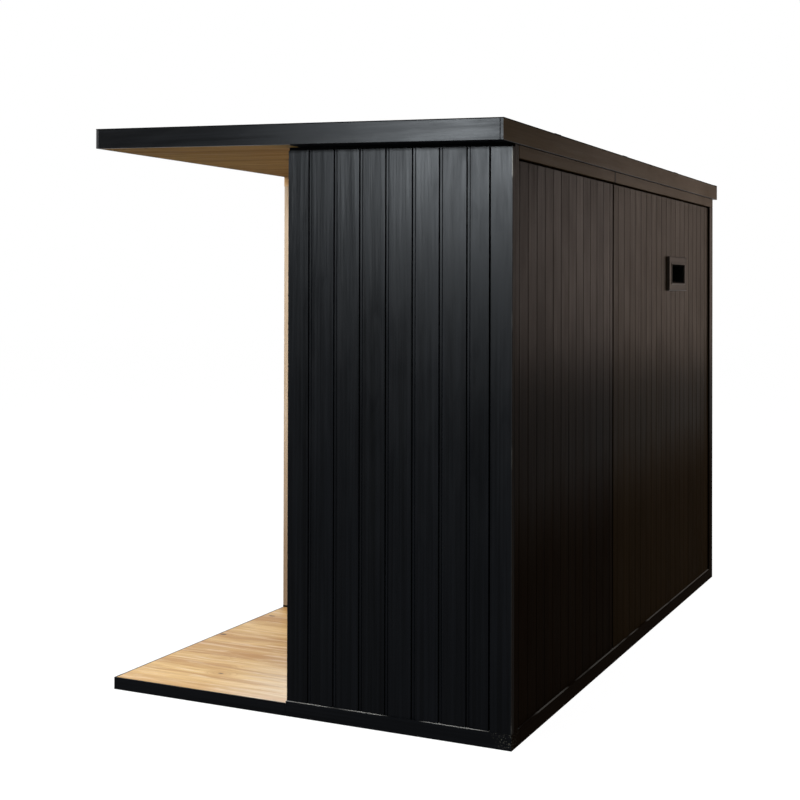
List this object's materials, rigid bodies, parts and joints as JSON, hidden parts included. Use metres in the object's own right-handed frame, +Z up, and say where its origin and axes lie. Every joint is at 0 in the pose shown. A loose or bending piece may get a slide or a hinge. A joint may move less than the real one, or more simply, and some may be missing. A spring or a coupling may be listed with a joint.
{
  "type": "outdoor sauna",
  "caption": "Black timber outdoor sauna cabin with a flat roof and an open corner porch lined in light wood.",
  "frame": {"origin": "on the ground, under the middle of the roof's plan", "axes": "+X along the length towards the porch end, +Y towards the long closed back wall, +Z up"},
  "size_m": [3.668, 1.786, 2.343],
  "materials": {
    "black_timber": "satin black paint",
    "light_timber": "oiled, honey coloured",
    "wall_panel": "planed",
    "bare_timber": "sawn",
    "roof_membrane": "matte",
    "vent_metal": "satin",
    "tinted_glass": "polished",
    "hinge_metal": "brushed"
  },
  "bodies": {
    "root": {"back_cladding_far": "black_timber", "back_cladding_near": "black_timber", "back_headers": "black_timber", "back_wall_far": "wall_panel", "back_wall_near": "wall_panel", "base_cross_beams": "black_timber", "base_long_beams": "black_timber", "cabin_ceiling": "light_timber", "cabin_floor": "light_timber", "door_frame": "light_timber", "door_glass": "tinted_glass", "door_handles": "light_timber", "door_hinges": "hinge_metal", "door_threshold": "light_timber", "far_end_cladding": "black_timber", "far_end_trims": "black_timber", "far_end_wall": "wall_panel", "fascia_back": "black_timber", "fascia_far": "black_timber", "fascia_front": "black_timber", "fascia_near": "black_timber", "floor_joists": "bare_timber", "front_cladding": "black_timber", "front_header": "black_timber", "front_wall": "wall_panel", "long_side_trims": "black_timber", "near_corner_board": "black_timber", "near_end_cladding": "black_timber", "near_end_wall": "wall_panel", "overhang_soffits": "black_timber", "porch_back_cladding": "light_timber", "porch_back_header": "light_timber", "porch_back_wall": "wall_panel", "porch_beam_front": "black_timber", "porch_beam_near": "black_timber", "porch_corner_trim": "light_timber", "porch_deck": "light_timber", "porch_side_cladding": "light_timber", "porch_side_header": "light_timber", "porch_side_wall": "wall_panel", "porch_soffit": "light_timber", "roof_membrane": "roof_membrane", "roof_panel": "wall_panel", "vent_frame": "black_timber", "vent_liner": "vent_metal"}
  },
  "joints": []
}
